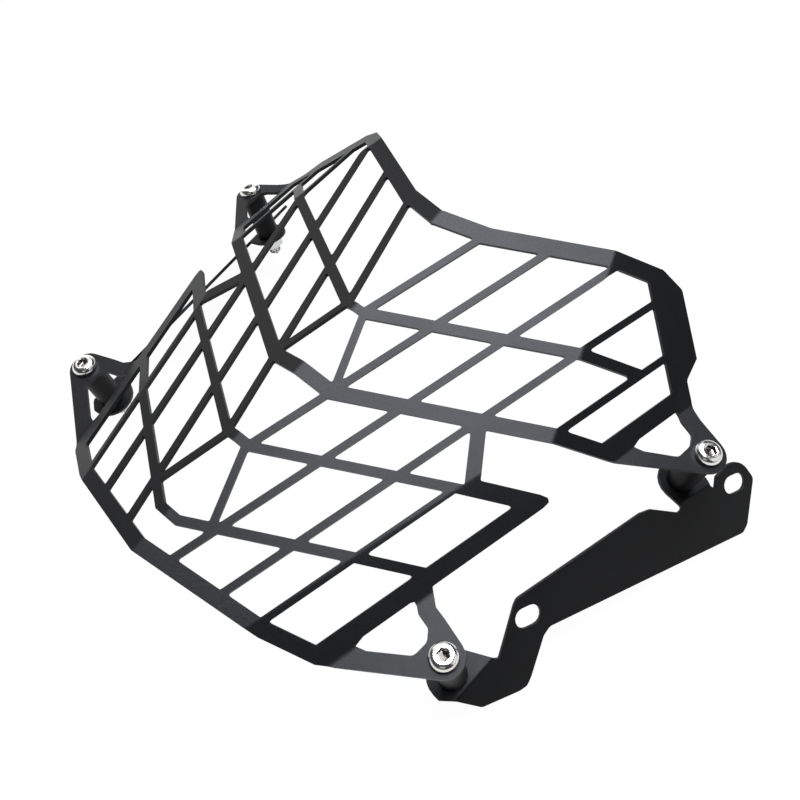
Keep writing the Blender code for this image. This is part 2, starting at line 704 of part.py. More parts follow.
def mirrored_mesh(mesh, name):
    """The left-hand copy of a mesh, with its faces turned to point out again."""
    points = [(-v.co.x, v.co.y, v.co.z) for v in mesh.vertices]
    faces = [tuple(reversed(face.vertices)) for face in mesh.polygons]
    copy = bpy.data.meshes.new(name)
    copy.from_pydata(points, [], faces)
    return copy


# Fasteners, each turned about Z

def round_ring(radius, z):
    return [(radius * math.cos(a), radius * math.sin(a), z) for a in turns()]


def hex_ring(flats, z):
    """A hexagon with as many points as a round ring, spread along its sides."""
    points = []
    for a in turns():
        off_flat = (a + math.pi / 6) % (math.pi / 3) - math.pi / 6
        reach = flats / 2 / math.cos(off_flat)
        points.append((reach * math.cos(a), reach * math.sin(a), z))
    return points


def turns():
    return [math.tau * (k + 0.5) / ROUND_STEPS for k in range(ROUND_STEPS)]


def skinned(name, rings, closed):
    """A mesh through a stack of rings, either joined end to end or capped at both ends."""
    points = [p for ring in rings for p in ring]
    n = ROUND_STEPS
    faces = []
    for k in range(len(rings) if closed else len(rings) - 1):
        low, high = k * n, (k + 1) % len(rings) * n
        faces += [(low + j, low + (j + 1) % n, high + (j + 1) % n, high + j) for j in range(n)]
    if not closed:
        faces.append(tuple(reversed(range(n))))
        faces.append(tuple((len(rings) - 1) * n + j for j in range(n)))
    mesh = bpy.data.meshes.new(name)
    mesh.from_pydata(points, [], faces)
    mesh.shade_smooth()
    mesh.set_sharp_from_angle(angle=math.radians(30.0))
    return mesh


def bolt_mesh():
    """A button-head bolt with a hexagon socket; its head rests just above Z = 0."""
    seat = SEAT_GAP
    tip = -(STACK + SHEET + SEAT_GAP + NUT_HEIGHT + BOLT_END)
    shank, rim, flat = BOLT_DIAMETER / 2, HEAD_DIAMETER / 2, HEAD_FLAT / 2
    top = seat + HEAD_HEIGHT
    rings = [round_ring(shank - BOLT_CHAMFER, tip), round_ring(shank, tip + BOLT_CHAMFER)]
    rings += [round_ring(shank, seat), round_ring(rim, seat), round_ring(rim, seat + HEAD_RIM)]
    for t in (0.35, 0.7):
        dome = math.sqrt(1.0 - t ** 2)
        rings.append(round_ring(flat + (rim - flat) * dome, seat + HEAD_RIM + (HEAD_HEIGHT - HEAD_RIM) * t))
    rings += [round_ring(flat, top), hex_ring(SOCKET_FLATS, top), hex_ring(SOCKET_FLATS, top - SOCKET_DEPTH)]
    return skinned("bolt", rings, False)


def spacer_mesh():
    """A plain tube with lightly broken edges, from Z = 0 down."""
    outer, bore, edge = SPACER_DIAMETER / 2, CLEAR_BORE / 2, SPACER_CHAMFER
    rings = [round_ring(outer - edge, -SPACER_LENGTH), round_ring(outer, edge - SPACER_LENGTH)]
    rings += [round_ring(outer, -edge), round_ring(outer - edge, 0.0)]
    rings += [round_ring(bore, 0.0), round_ring(bore, -SPACER_LENGTH)]
    return skinned("spacer", rings, True)


def nut_mesh():
    """A hexagon nut, its corners turned off at both ends, from Z = 0 down."""
    bore, edge = CLEAR_BORE / 2, NUT_CHAMFER
    face = NUT_FLATS / 2 - edge / 2
    rings = [round_ring(face, -NUT_HEIGHT), hex_ring(NUT_FLATS, edge - NUT_HEIGHT)]
    rings += [hex_ring(NUT_FLATS, -edge), round_ring(face, 0.0)]
    rings += [round_ring(bore, 0.0), round_ring(bore, -NUT_HEIGHT)]
    return skinned("nut", rings, True)


# Materials and objects

def material(name, colour, roughness, metallic):
    made = bpy.data.materials.new(name)
    made.use_nodes = True
    shader = made.node_tree.nodes["Principled BSDF"]
    shader.inputs["Base Color"].default_value = (*colour, 1.0)
    shader.inputs["Roughness"].default_value = roughness
    shader.inputs["Metallic"].default_value = metallic
    return made


def add(name, mesh, frame, looks, parent):
    """Add a piece to the scene, in its own material, placed in its parent's frame."""
    piece = bpy.data.objects.new(name, mesh)
    bpy.context.scene.collection.objects.link(piece)
    if not mesh.materials:
        mesh.materials.append(None)
    piece.material_slots[0].link = "OBJECT"
    piece.material_slots[0].material = material(name, *looks)
    piece.parent = parent
    piece.matrix_local = frame
    return piece


def left(frame):
    """A right-hand frame carried over to the left side."""
    flip = Matrix.Diagonal((-1.0, 1.0, 1.0, 1.0))
    return flip @ frame @ flip


def resting_pitch(points):
    """The turn about X that brings the lowest front and rear points level."""
    y, z = points[:, 1], points[:, 2]
    front = y < np.mean([y.min(), y.max()])
    low, high = 0.0, math.pi / 4
    for _ in range(40):
        angle = (low + high) / 2
        heights = y * math.sin(angle) + z * math.cos(angle)
        if heights[front].min() < heights[~front].min():
            high = angle
        else:
            low = angle
    return angle


def resting_pose(placed):
    """Lay the guard on its brackets: lowest point at Z = 0, middle of its length at Y = 0."""
    points = np.array([frame @ v.co for mesh, frame in placed for v in mesh.vertices])
    turn = Matrix.Rotation(resting_pitch(points), 4, "X")
    rested = points @ np.array(turn.to_3x3()).T
    middle = (rested[:, 1].min() + rested[:, 1].max()) / 2
    return Matrix.Translation((0.0, -middle, -rested[:, 2].min())) @ turn


POWDER_COAT = ((0.018, 0.019, 0.020), 0.45, 0.0)
BLACK_OXIDE = ((0.012, 0.012, 0.013), 0.38, 0.6)
BRIGHT_ZINC = ((0.62, 0.62, 0.60), 0.22, 1.0)

for item in list(bpy.data.objects):
    bpy.data.objects.remove(item, do_unlink=True)

BENDS = grille_bends()
BOLTS = {"upper": bolt_frame(BENDS, UPPER_BOLT), "lower": bolt_frame(BENDS, LOWER_BOLT)}
PLATE = plate_frame(BOLTS["lower"], BOLTS["upper"])
GRILLE = grille_mesh(BENDS)
BRACKET = bracket_mesh(PLATE, BOLTS["lower"], BOLTS["upper"])
GUARD = bpy.data.objects.new("guard", None)
bpy.context.scene.collection.objects.link(GUARD)
GUARD.matrix_world = resting_pose([(GRILLE, Matrix.Identity(4)), (BRACKET, PLATE)])

add("grille", GRILLE, Matrix.Identity(4), POWDER_COAT, GUARD)
add("bracket_right", BRACKET, PLATE, POWDER_COAT, GUARD)
add("bracket_left", mirrored_mesh(BRACKET, "bracket_left"), left(PLATE), POWDER_COAT, GUARD)
SPACER, BOLT, NUT = spacer_mesh(), bolt_mesh(), nut_mesh()
for level, frame in BOLTS.items():
    for side, place in (("right", frame), ("left", left(frame))):
        spacer_place = below(place, SHEET + SEAT_GAP)
        nut_place = below(place, STACK + SHEET + SEAT_GAP)
        add(f"spacer_{level}_{side}", SPACER, spacer_place, BLACK_OXIDE, GUARD)
        add(f"bolt_{level}_{side}", BOLT, place, BRIGHT_ZINC, GUARD)
        add(f"nut_{level}_{side}", NUT, nut_place, BRIGHT_ZINC, GUARD)
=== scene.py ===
"""Looks of a motorcycle headlight guard that lies on its brackets on a white table.

The sections follow the guard as it is put together: table and light, the folded
grille, its brackets, and then spacers, bolts and nuts. All sizes are in metres.
"""

import math

import bmesh
import bpy
import numpy as np
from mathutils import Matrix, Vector
from mathutils.bvhtree import BVHTree


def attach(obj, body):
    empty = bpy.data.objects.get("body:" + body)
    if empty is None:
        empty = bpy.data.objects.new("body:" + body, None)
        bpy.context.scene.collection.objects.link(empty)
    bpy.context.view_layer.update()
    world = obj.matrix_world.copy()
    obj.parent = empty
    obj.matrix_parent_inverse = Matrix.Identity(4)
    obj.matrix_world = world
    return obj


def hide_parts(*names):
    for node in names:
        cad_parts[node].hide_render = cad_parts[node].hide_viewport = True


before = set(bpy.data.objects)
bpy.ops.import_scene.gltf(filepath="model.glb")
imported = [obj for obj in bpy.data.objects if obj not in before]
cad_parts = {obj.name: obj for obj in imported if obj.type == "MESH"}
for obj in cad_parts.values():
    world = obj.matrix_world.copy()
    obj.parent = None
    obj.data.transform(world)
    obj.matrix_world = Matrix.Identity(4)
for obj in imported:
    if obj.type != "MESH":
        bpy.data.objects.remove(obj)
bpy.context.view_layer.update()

# Table and backdrop
# A white sheet of studio paper carries the guard and reaches past every edge of the view.
# The paper is lit so evenly that it shows pure white, with only a trace of a shadow.

PAPER_SIZE = 6.0
PAPER_STEPS = 5
PAPER_WHITE = "#e9e9e8"
PAPER_FIBRE = "#f4f4f3"
FIBRE_SIZE = 1.0 / 900.0  # a flock of fibres is about a millimetre
# The share of the paper's white that doesn't depend on the lamps; the rest takes the shadow.
PAPER_GLOW = 0.97


def linear(code, alpha=1.0):
    """Turn an sRGB hex code into linear red, green, blue and alpha.

    A channel c from 0 to 1 becomes ((c + 0.055) / 1.055)^2.4, or c / 12.92 where it is dark.
    """
    channels = np.array([int(code[k:k + 2], 16) for k in (1, 3, 5)]) / 255.0
    low = channels / 12.92
    high = ((channels + 0.055) / 1.055) ** 2.4
    return (*np.where(channels <= 0.04045, low, high).tolist(), alpha)


def add_node(tree, kind, settings=None, inputs=None):
    """Add one node: settings are its own properties, inputs are values or sockets to link."""
    made = tree.nodes.new(kind)
    for key, value in (settings or {}).items():
        setattr(made, key, value)
    for key, value in (inputs or {}).items():
        socket = made.inputs[key]
        if isinstance(value, bpy.types.NodeSocket):
            tree.links.new(value, socket)
        else:
            socket.default_value = value
    return made


def new_material(name):
    """An empty node material and its output node."""
    made = bpy.data.materials.new(name)
    made.use_nodes = True
    made.node_tree.nodes.clear()
    return made, add_node(made.node_tree, "ShaderNodeOutputMaterial")


def paper_material():
    """White studio paper: matt pulp fibre to the lamps, pure white to the camera and in gloss."""
    made, output = new_material("white studio paper")
    tree = made.node_tree
    place = add_node(tree, "ShaderNodeTexCoord").outputs["Object"]
    fibre = add_node(tree, "ShaderNodeTexNoise", inputs={
        "Vector": place, "Scale": 1.0 / FIBRE_SIZE, "Detail": 3.0})
    tone = add_node(tree, "ShaderNodeMix", {"data_type": "RGBA"}, {
        "Factor": fibre.outputs["Fac"], "A": linear(PAPER_WHITE), "B": linear(PAPER_FIBRE)})
    pulp = add_node(tree, "ShaderNodeBsdfPrincipled", inputs={
        "Base Color": tone.outputs["Result"], "Roughness": 0.9})
    glow = add_node(tree, "ShaderNodeEmission", inputs={
        "Color": linear("#ffffff"), "Strength": 1.0})
    ray = add_node(tree, "ShaderNodeLightPath")
    seen = add_node(tree, "ShaderNodeMath", {"operation": "MAXIMUM"}, {
        0: ray.outputs["Is Camera Ray"], 1: ray.outputs["Is Glossy Ray"]})
    clear = add_node(tree, "ShaderNodeMath", {"operation": "MAXIMUM"}, {
        0: seen.outputs[0], 1: ray.outputs["Is Transmission Ray"]})
    share = add_node(tree, "ShaderNodeMath", {"operation": "MULTIPLY"}, {
        0: clear.outputs[0], 1: PAPER_GLOW})
    mixed = add_node(tree, "ShaderNodeMixShader", inputs={
        "Fac": share.outputs[0], 1: pulp.outputs[0], 2: glow.outputs[0]})
    tree.links.new(mixed.outputs[0], output.inputs["Surface"])
    return made


def paper_sheet():
    """A flat square grid: x and y run from minus to plus half the sheet, z is 0."""
    steps = np.linspace(-PAPER_SIZE / 2, PAPER_SIZE / 2, PAPER_STEPS)
    x, y = np.meshgrid(steps, steps, indexing="ij")
    return np.stack([x, y, np.zeros_like(x)], axis=-1)


def grid_mesh(name, points, wrap=False):
    """Join a grid of points into four-sided faces; wrap closes its second direction."""
    rows, columns = points.shape[:2]
    number = np.arange(rows * columns).reshape(rows, columns)
    ahead = np.roll(number, -1, axis=1)
    if not wrap:
        number, ahead = number[:, :-1], ahead[:, :-1]
    faces = np.stack([number[:-1], number[1:], ahead[1:], ahead[:-1]], axis=-1).reshape(-1, 4)
    mesh = bpy.data.meshes.new(name)
    mesh.from_pydata(points.reshape(-1, 3).tolist(), [], faces.tolist())
    return mesh


def new_piece(name, mesh, finish):
    """Put a mesh into the scene in one finish."""
    piece = bpy.data.objects.new(name, mesh)
    bpy.context.scene.collection.objects.link(piece)
    mesh.materials.clear()
    mesh.materials.append(finish)
    return piece


table = new_piece("paper_table", grid_mesh("paper_table", paper_sheet()), paper_material())


# Camera
# The photograph looks down at the guard's right half from the front, at 49 degrees, from
# 380 mm away. The place and turn were solved from the guard's straight edges and its symmetry.

CAMERA_PLACE = (0.17700, -0.15078, 0.30063)
CAMERA_TURN = (40.539, 1.194, 41.341)  # degrees
CAMERA_FOCUS = 861.3  # pixels, as the centre and size of the view
VIEW_CENTRE = (416.2, 407.1)
VIEW_SIZE = 800.0

lens = bpy.data.cameras.new("camera")
lens.sensor_width = 36.0
lens.lens = CAMERA_FOCUS / VIEW_SIZE * lens.sensor_width
lens.shift_x = (VIEW_SIZE / 2 - VIEW_CENTRE[0]) / VIEW_SIZE
lens.shift_y = (VIEW_CENTRE[1] - VIEW_SIZE / 2) / VIEW_SIZE
lens.clip_start = 0.01
camera = bpy.data.objects.new("camera", lens)
camera.location = CAMERA_PLACE
camera.rotation_euler = [math.radians(a) for a in CAMERA_TURN]
bpy.context.scene.collection.objects.link(camera)
bpy.context.scene.camera = camera


# Studio light
# One wide soft box hangs over the guard, a tall one stands at its left, and a weak one fills
# the front. The walls are nearly black, apart from white cards that stand low around the table
# and leave a gap for the photographer. The camera itself sees only white behind the guard.

TABLE_MIDDLE = (0.0, 0.0, 0.05)
# Each soft box: name, place, the point it faces, width and height, watts, colour.
SOFT_BOXES = (
    ("overhead_box", (-0.14, 0.28, 1.5), (-0.14, 0.28, 0.0), (1.25, 1.25), 57.0, "#f1f5ff"),
    ("left_box", (-1.25, 0.15, 0.95), TABLE_MIDDLE, (0.7, 1.4), 2.6, "#fffaf2"),
    ("front_box", (0.6, -1.2, 0.9), TABLE_MIDDLE, (0.6, 0.6), 0.6, "#ffffff"),
)
WALL_LIGHT = 0.05
CARD_LIGHT = 0.75
CARD_COLOUR = "#f6f8fa"
# The cards' upper edge, as the sine of its height above the table's level, and its soft width.
CARD_RISE = 0.22
CARD_FADE = 0.06
# The gap lies in this direction; the cards fade as a ray turns to it from one cosine to the other.
CARD_GAP = (0.68, -0.73, 0.0)
GAP_EDGES = (0.35, 0.65)


def soft_box(name, place, aim, size, power, colour):
    """A rectangular area lamp at a place, facing a point."""
    lamp = bpy.data.lights.new(name, "AREA")
    lamp.shape = "RECTANGLE"
    lamp.size, lamp.size_y = size
    lamp.energy = power
    lamp.color = linear(colour)[:3]
    holder = bpy.data.objects.new(name, lamp)
    holder.location = place
    holder.rotation_euler = (Vector(aim) - Vector(place)).to_track_quat("-Z", "Y").to_euler()
    bpy.context.scene.collection.objects.link(holder)
    return holder


def studio_room():
    """A world of dark walls with low cards: light = cards' light x (1 - gap) + walls' light."""
    room = bpy.data.worlds.new("studio room")
    room.use_nodes = True
    tree = room.node_tree
    tree.nodes.clear()
    seen_by = add_node(tree, "ShaderNodeLightPath")
    white = add_node(tree, "ShaderNodeBackground", inputs={
        "Color": linear("#ffffff"), "Strength": 1.0})
    direction = add_node(tree, "ShaderNodeTexCoord").outputs["Generated"]
    rise = add_node(tree, "ShaderNodeSeparateXYZ", inputs={"Vector": direction}).outputs["Z"]
    cards = add_node(tree, "ShaderNodeMapRange", inputs={
        "Value": rise, "From Min": CARD_RISE - CARD_FADE, "From Max": CARD_RISE,
        "To Min": CARD_LIGHT, "To Max": 0.0})
    frontal = add_node(tree, "ShaderNodeVectorMath", {"operation": "DOT_PRODUCT"}, {
        0: direction, 1: CARD_GAP})
    beside = add_node(tree, "ShaderNodeMapRange", inputs={
        "Value": frontal.outputs["Value"], "From Min": GAP_EDGES[0], "From Max": GAP_EDGES[1],
        "To Min": 1.0, "To Max": 0.0})
    strength = add_node(tree, "ShaderNodeMath", {"operation": "MULTIPLY_ADD"}, {
        0: cards.outputs["Result"], 1: beside.outputs["Result"], 2: WALL_LIGHT})
    walls = add_node(tree, "ShaderNodeBackground", inputs={
        "Color": linear(CARD_COLOUR), "Strength": strength.outputs[0]})
    blend = add_node(tree, "ShaderNodeMixShader", inputs={
        "Fac": seen_by.outputs["Is Camera Ray"], 1: walls.outputs[0], 2: white.outputs[0]})
    add_node(tree, "ShaderNodeOutputWorld", inputs={"Surface": blend.outputs[0]})
    return room


for box in SOFT_BOXES:
    soft_box(*box)
bpy.context.scene.world = studio_room()
bpy.context.scene.view_settings.view_transform = "Standard"


# Grille
# One sheet of 1.5 mm mild steel, cut by laser, folded along the middle and the wings, and
# powder coated. The coat rounds every cut edge a little and flows evenly over the soft bends.

SHEET = 0.0015
COAT_BLACK = "#0c0c0d"
COAT_GRAIN = "#131415"
COAT_ROUGHNESS = 0.42
COAT_SHEEN = 0.25
# The laser-cut sides take a duller coat, painted darker than the faces' as painted shade.
CUT_SIDE_SHADE_BLACK = "#08080a"
CUT_SIDE_SHADE_GRAIN = "#0c0d0e"
CUT_ROUGHNESS = 0.62
CUT_SHEEN = 0.08
# Orange peel: shallow swells about a millimetre apart, from the melt flowing before it set.
PEEL_SIZE = 0.0011
PEEL_HEIGHT = 0.00010
PEEL_STRENGTH = 0.22
# Single powder grains are 40 microns, too fine to show, so they are a third of a millimetre.
GRAIN_SIZE = 0.00035
GRAIN_REACH = 0.75
GRAIN_HEIGHT = 0.35  # of the swells' height
# The spray gun leaves cloudy passes, a few centimetres wide, that are duller or glossier.
CLOUD_SIZE = 0.035
CLOUD_GLOSS = (-0.03, 0.04)
NOISE_SPAN = (0.3, 0.7)  # nearly all values of a noise lie between these
EDGE_ROUNDING = 0.00018
EDGE_ANGLE = 35.0  # degrees; the bends' creases are softer than this and stay unrounded
FACE_WEIGHT = 60  # how strongly large faces keep their own shading at a bend
WELD = 1e-6  # corners closer than this are one
FLAT_ANGLE = 0.6  # degrees; below this two faces count as one flat area
RAY_START = 1e-5  # below the skin, so that the ray misses the face it starts from
SKIN_DEPTH = 1.2 * SHEET  # a way through the steel up to this long leads to the other skin


def powder_coat(name, black, grain, roughness, sheen=COAT_SHEEN):
    """Satin powder coat: baked polyester with faint orange peel and fine specks of light grains."""
    made, output = new_material(name)
    tree = made.node_tree
    place = add_node(tree, "ShaderNodeTexCoord").outputs["Object"]
    peel = add_node(tree, "ShaderNodeTexNoise", inputs={
        "Vector": place, "Scale": 1.0 / PEEL_SIZE, "Detail": 2.0, "Roughness": 0.45})
    grains = add_node(tree, "ShaderNodeTexVoronoi", inputs={
        "Vector": place, "Scale": 1.0 / GRAIN_SIZE})
    speck = add_node(tree, "ShaderNodeMapRange", inputs={
        "Value": grains.outputs["Distance"], "From Min": 0.0, "From Max": GRAIN_REACH,
        "To Min": 1.0, "To Max": 0.0})
    cloud = add_node(tree, "ShaderNodeTexNoise", inputs={
        "Vector": place, "Scale": 1.0 / CLOUD_SIZE, "Detail": 4.0, "Roughness": 0.6})
    share = add_node(tree, "ShaderNodeMath", {"operation": "MULTIPLY"}, {
        0: speck.outputs["Result"], 1: cloud.outputs["Fac"]})
    colour = add_node(tree, "ShaderNodeMix", {"data_type": "RGBA"}, {
        "Factor": share.outputs[0], "A": linear(black), "B": linear(grain)})
    gloss = add_node(tree, "ShaderNodeMapRange", inputs={
        "Value": cloud.outputs["Fac"], "From Min": NOISE_SPAN[0], "From Max": NOISE_SPAN[1],
        "To Min": roughness + CLOUD_GLOSS[0], "To Max": roughness + CLOUD_GLOSS[1]})
    height = add_node(tree, "ShaderNodeMath", {"operation": "MULTIPLY_ADD"}, {
        0: speck.outputs["Result"], 1: GRAIN_HEIGHT, 2: peel.outputs["Fac"]})
    swell = add_node(tree, "ShaderNodeBump", inputs={
        "Strength": PEEL_STRENGTH, "Distance": PEEL_HEIGHT, "Height": height.outputs[0]})
    coat = add_node(tree, "ShaderNodeBsdfPrincipled", inputs={
        "Base Color": colour.outputs["Result"], "Roughness": gloss.outputs["Result"],
        "Normal": swell.outputs["Normal"], "IOR": 1.5, "Specular IOR Level": sheen})
    tree.links.new(coat.outputs[0], output.inputs["Surface"])
    return made


def merged_copy(node, name):
    """A copy of a CAD node's triangles, with doubles merged and flat areas joined.

    A ray goes from each face straight back through the steel. Where it comes out after
    one sheet's thickness the face is skin, and elsewhere it is a cut side, painted darker as shade.
    """
    work = bmesh.new()
    work.from_mesh(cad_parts[node].data)
    bmesh.ops.remove_doubles(work, verts=work.verts, dist=WELD)
    tree = BVHTree.FromBMesh(work)
    for face in work.faces:
        start = face.calc_center_median() - RAY_START * face.normal
        depth = tree.ray_cast(start, -face.normal)[3]
        face.material_index = 0 if depth is not None and depth < SKIN_DEPTH else 1
    bmesh.ops.dissolve_limit(work, angle_limit=math.radians(FLAT_ANGLE), verts=work.verts,
                             edges=work.edges, delimit={"MATERIAL"})
    mesh = bpy.data.meshes.new(name)
    work.to_mesh(mesh)
    work.free()
    mesh.shade_smooth()
    return mesh


def coated_sheet(node, finish, shaded_cut_finish):
    """A folded sheet with its cut edges rounded by the coat and its bends shaded as one curve."""
    piece = new_piece(node + "_coated", merged_copy(node, node + "_coated"), finish)
    # The second finish, on the cut sides, is the coat painted darker: painted shade.
    piece.data.materials.append(shaded_cut_finish)
    rounding = piece.modifiers.new("rounded edges", "BEVEL")
    rounding.width = EDGE_ROUNDING
    rounding.segments = 2
    rounding.limit_method = "ANGLE"
    rounding.angle_limit = math.radians(EDGE_ANGLE)
    rounding.use_clamp_overlap = True
    evening = piece.modifiers.new("even faces", "WEIGHTED_NORMAL")
    evening.weight = FACE_WEIGHT
    evening.keep_sharp = False
    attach(piece, "root")
    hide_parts(node)


grille_coat = powder_coat(
    "satin black powder coat on the grille", COAT_BLACK, COAT_GRAIN, COAT_ROUGHNESS)
# The cut sides' coat is painted darker and made duller than the faces': painted shade.
shaded_cut_coat = powder_coat(
    "duller coat on the laser-cut sides, painted darker as shade", CUT_SIDE_SHADE_BLACK, CUT_SIDE_SHADE_GRAIN, CUT_ROUGHNESS, CUT_SHEEN)
coated_sheet("grille", grille_coat, shaded_cut_coat)


# Side brackets
# Two plates of the same 1.5 mm steel, one for each side, with two tabs bent over for the
# spacers. They carry the same coat, a touch duller, and painted a touch darker as shade.

# The brackets' colour is painted darker than the grille's: painted shade on the plates.
BRACKET_SHADE_BLACK = "#080809"
BRACKET_SHADE_GRAIN = "#0d0e0f"
BRACKET_ROUGHNESS = 0.46

shaded_bracket_coat = powder_coat(
    "satin black powder coat on the brackets", BRACKET_SHADE_BLACK, BRACKET_SHADE_GRAIN, BRACKET_ROUGHNESS)
coated_sheet("bracket_right", shaded_bracket_coat, shaded_cut_coat)
coated_sheet("bracket_left", shaded_bracket_coat, shaded_cut_coat)


# Spacers
# Round tubes, 11 mm across and 22 mm long, parted off from bar on a lathe and chemically
# blackened. The tool leaves fine rings round them, and both ends have their edges broken.

STATIONS = ("upper_right", "upper_left", "lower_right", "lower_left")
SPACER_RADIUS = 0.0055
SPACER_BORE = 0.0033
SPACER_LENGTH = 0.0220
SPACER_EDGE = 0.0004
WALL_ROWS = 24
WALL_INSET = 1e-4
SEAT_GAP = 0.0003  # left free at each seat, as in the CAD
SEAT_FILL = 0.9  # how far into the gap the tube's ends reach, so that no light shows through
ROUND_STEPS = 96
SHARP_ANGLE = 32.0  # degrees
POLE_WELD = 2e-7
# The tool's feed is a tenth of a millimetre; the rings are drawn wider, so that they show.
TURN_RINGS = 0.00045
RING_BREAKS = 1.5  # for each turn around the tube
RING_HEIGHT = 0.00006
RING_STRENGTH = 0.35
OXIDE_BLACK = "#0a0a0b"
OXIDE_STAIN = "#111213"
STAIN_SIZE = 1.0 / 350.0  # the oil dries in blotches of 3 mm
OXIDE_ROUGHNESS = (0.34, 0.46)
OXIDE_SHEEN = 0.11


def corner_points(node):
    """All corners of a CAD node as an array."""
    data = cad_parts[node].data
    flat = np.zeros(len(data.vertices) * 3)
    data.vertices.foreach_get("co", flat)
    return flat.reshape(-1, 3)


def axis_of(station):
    """The axis frame at one bolt: origin at the spacer's upper end, z up to the bolt's head.

    z is the direction in which the tube's corners spread most evenly, turned to point away
    from the nut. x points from the axis to one corner of the nut, and y = z cross x.
    """
    tube = corner_points("spacer_" + station)
    middle = np.unique(tube.round(7), axis=0).mean(0)
    spread, directions = np.linalg.eigh(np.cov((tube - middle).T))
    along = directions[:, np.argmax(spread)]
    nut = corner_points("nut_" + station)
    nut_middle = np.unique(nut.round(7), axis=0).mean(0)
    if along @ (middle - nut_middle) < 0:
        along = -along
    off = (nut - nut_middle) - np.outer((nut - nut_middle) @ along, along)
    across = off[np.argmax(np.linalg.norm(off, axis=1))]
    across = across / np.linalg.norm(across)
    origin = middle + along * SPACER_LENGTH / 2
    turn = np.stack([across, np.cross(along, across), along], axis=1)
    return origin, turn


def add_wrap_map(mesh, lengths, steps):
    """A UV map: u is the turn from 0 to 1, v the length along the profile in centimetres."""
    corner = np.zeros(len(mesh.loops), np.int32)
    mesh.loops.foreach_get("vertex_index", corner)
    u = (corner % steps) / steps
    # A face across the seam has u near 0 and near 1, so its low ends go up by a whole turn.
    seam = np.arange(len(corner)).reshape(-1, 4)
    wraps = (u[seam].max(1) - u[seam].min(1)) > 0.5
    u[seam[wraps]] = np.where(u[seam[wraps]] < 0.5, u[seam[wraps]] + 1.0, u[seam[wraps]])
    v = lengths[corner // steps] * 100.0
    layer = mesh.uv_layers.new(name="wrap")
    layer.data.foreach_set("uv", np.stack([u, v], axis=1).astype(np.float32).ravel())


def close_poles(mesh):
    """Merge the points of a ring that has shrunk to a pole, or of two rings in one place."""
    work = bmesh.new()
    work.from_mesh(mesh)
    bmesh.ops.remove_doubles(work, verts=work.verts, dist=POLE_WELD)
    bmesh.ops.recalc_face_normals(work, faces=work.faces)
    work.to_mesh(mesh)
    work.free()


def turned(name, radii, heights, station, steps=ROUND_STEPS):
    """A closed surface turned about the axis: each row is a radius r, or r(angle), at a height h.

    Point = origin + r cos(a) x + r sin(a) y + h z. The first and last rows lie in one
    place, or each of them is a pole.
    """
    angles = math.tau * np.arange(steps) / steps
    rows = len(radii)
    r = np.broadcast_to(np.asarray(radii, float).reshape(rows, -1), (rows, steps))
    h = np.broadcast_to(np.asarray(heights, float).reshape(rows, -1), (rows, steps))
    local = np.stack([r * np.cos(angles), r * np.sin(angles), h], axis=-1)
    origin, turn = axis_of(station)
    mesh = grid_mesh(name, local @ turn.T + origin, wrap=True)
    runs = np.hypot(np.diff(r[:, 0]), np.diff(h[:, 0]))
    add_wrap_map(mesh, np.concatenate([[0.0], np.cumsum(runs)]), steps)
    close_poles(mesh)
    mesh.shade_smooth()
    mesh.set_sharp_from_angle(angle=math.radians(SHARP_ANGLE))
    return mesh


def rounded_corner(start, end, corner, steps=4):
    """Rows of a profile: (1-t)^2 start + 2 t (1-t) corner + t^2 end, for t from 0 to 1."""
    t = np.linspace(0.0, 1.0, steps + 1)[:, None]
    a, b, c = (np.array(p, float) for p in (start, corner, end))
    return (1 - t) ** 2 * a + 2 * t * (1 - t) * b + t ** 2 * c


def spacer_profile():
    """Radius and height down the outer wall, round the lower edge, up the bore and back."""
    top, bottom = SEAT_GAP * SEAT_FILL, -SPACER_LENGTH - SEAT_GAP * SEAT_FILL
    outer, bore, edge = SPACER_RADIUS, SPACER_BORE, SPACER_EDGE
    wall = np.linspace(top - edge - WALL_INSET, bottom + edge + WALL_INSET, WALL_ROWS)
    return np.concatenate([
        rounded_corner((outer - edge, top), (outer, top - edge), (outer, top)),
        np.stack([np.full(WALL_ROWS, outer), wall], axis=1),
        rounded_corner((outer, bottom + edge), (outer - edge, bottom), (outer, bottom)),
        rounded_corner((bore + edge, bottom), (bore, bottom + edge), (bore, bottom)),
        rounded_corner((bore, top - edge), (bore + edge, top), (bore, top)),
        np.array([[outer - edge, top]]),
    ])


